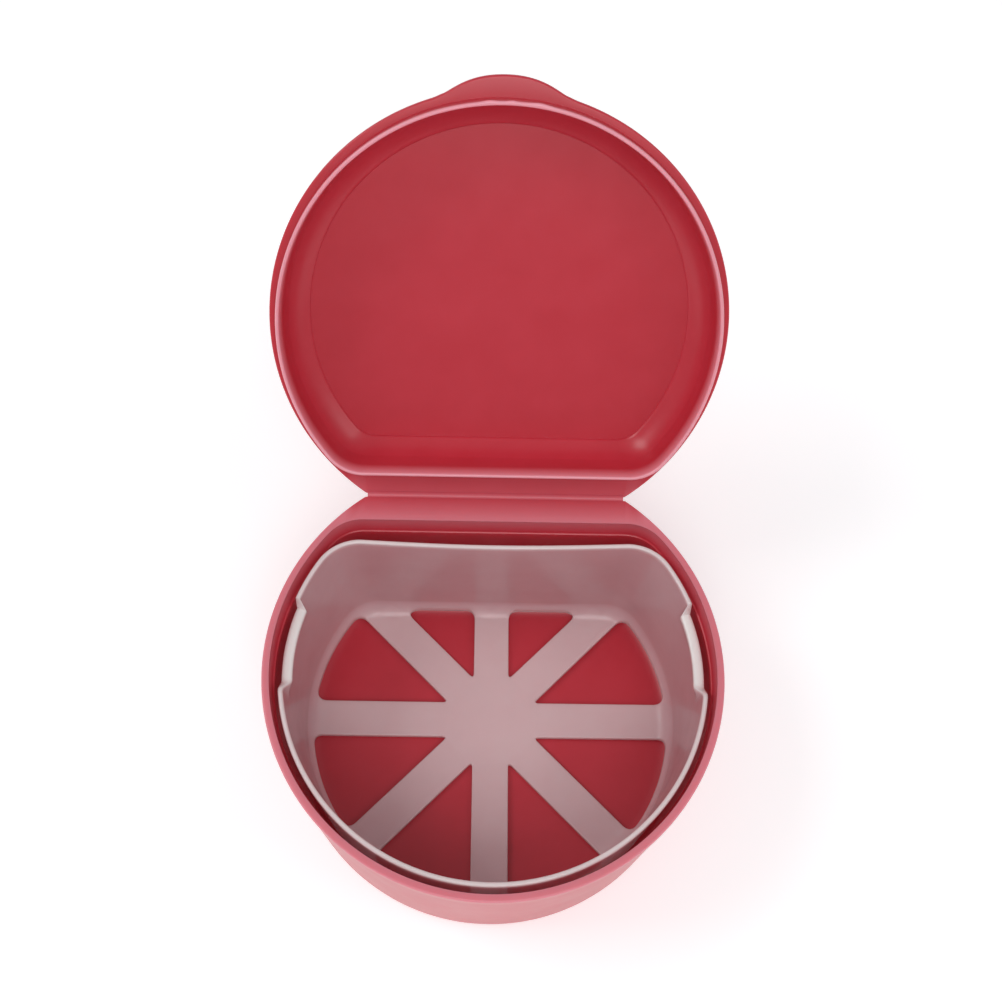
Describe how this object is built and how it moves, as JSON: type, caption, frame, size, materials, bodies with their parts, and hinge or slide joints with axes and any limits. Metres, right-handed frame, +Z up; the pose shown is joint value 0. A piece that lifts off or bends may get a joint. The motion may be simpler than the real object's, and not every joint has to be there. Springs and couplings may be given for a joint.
{
  "type": "hinged soaking case with basket",
  "caption": "Deep D-shaped soaking tub with a shallow living-hinged lid, a thumb tab and a lift-out rinsing basket with a spoked open floor.",
  "frame": {"origin": "centre of the tub's round part, on the flat underside", "axes": "+Z up out of the tub, +Y towards the hinge, +X to the right seen from the tab side; the lid is drawn 127.5 degrees open"},
  "size_m": [0.092, 0.1375, 0.109],
  "materials": {
    "case": "moulded polypropylene, semi-gloss",
    "hinge_web": "moulded polypropylene, flexed and slightly whitened",
    "basket": "natural translucent polypropylene, smooth"
  },
  "bodies": {
    "base": {"base_shell": "case", "living_hinge": "hinge_web"},
    "lid": {"lid_shell": "case"},
    "basket": {"basket_wall": "basket", "basket_spokes": "basket"}
  },
  "joints": [
    {"name": "lid_hinge", "type": "hinge", "parent": "base", "child": "lid", "pos_m": [0, 0.037, 0.0414], "axis": [-1, 0, 0], "range_deg": [-127.5, 52.5]},
    {"name": "basket_lift", "type": "slide", "parent": "base", "child": "basket", "axis": [0, 0, 1], "range_m": [0, 0.066]}
  ]
}
